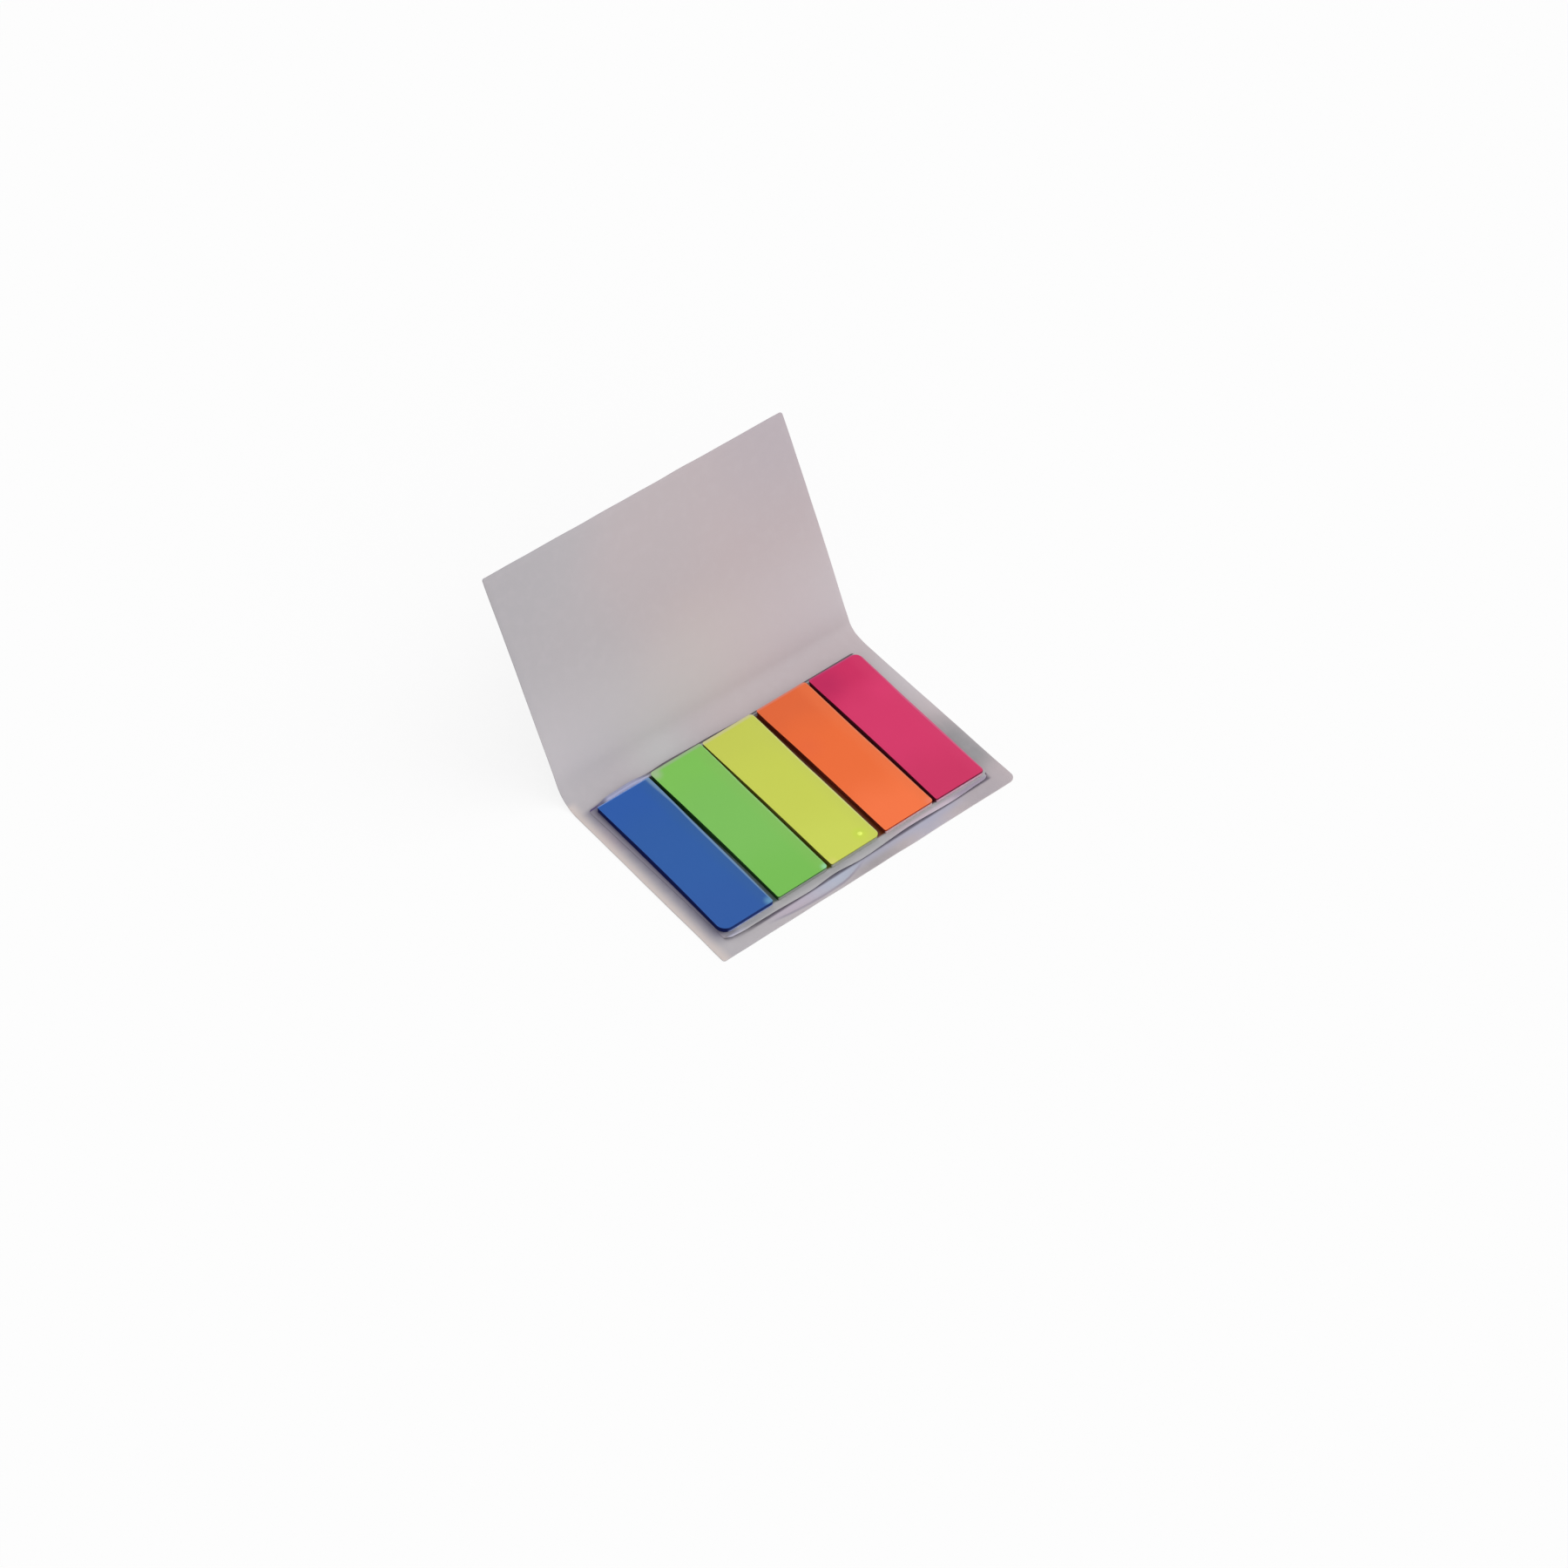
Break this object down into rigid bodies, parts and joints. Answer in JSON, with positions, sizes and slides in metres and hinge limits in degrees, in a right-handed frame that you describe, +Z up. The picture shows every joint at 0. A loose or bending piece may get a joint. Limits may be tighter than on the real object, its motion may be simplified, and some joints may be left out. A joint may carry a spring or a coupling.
{
  "type": "page flag booklet",
  "caption": "Folded card booklet, standing open, with a side-by-side row of coloured film page flag pads on a backing sheet inside.",
  "frame": {"origin": "middle of the base panel's underside, on the surface that the booklet lies on", "axes": "+Z up, away from the surface; -Y towards the front edge that the user faces, +Y towards the folds; +X along the card's width, from the blue pad towards the pink pad"},
  "size_m": [0.09, 0.0903, 0.0555],
  "materials": {
    "card": "matte",
    "tape": "matte",
    "backing": "satin",
    "film_blue": "satin",
    "film_green": "satin",
    "film_yellow": "satin",
    "film_orange": "satin",
    "film_pink": "satin"
  },
  "bodies": {
    "base": {"card_base": "card", "mounting_tape": "tape", "backing_sheet": "backing", "pad_blue": "film_blue", "pad_green": "film_green", "pad_yellow": "film_yellow", "pad_orange": "film_orange", "pad_pink": "film_pink"},
    "spine": {"card_spine": "card"},
    "cover": {"card_cover": "card"}
  },
  "joints": [
    {"name": "base_fold", "type": "hinge", "parent": "base", "child": "spine", "pos_m": [0, 0.0301, 0.0002], "axis": [1, 0, 0], "range_deg": [-31.5, 58.5]},
    {"name": "cover_fold", "type": "hinge", "parent": "spine", "child": "cover", "pos_m": [0, 0.03266, 0.00177], "axis": [1, 0, 0], "range_deg": [-31.5, 58.5]}
  ],
  "couplings": [
    {"joint": "cover_fold", "follows": "base_fold", "ratio": 1}
  ]
}
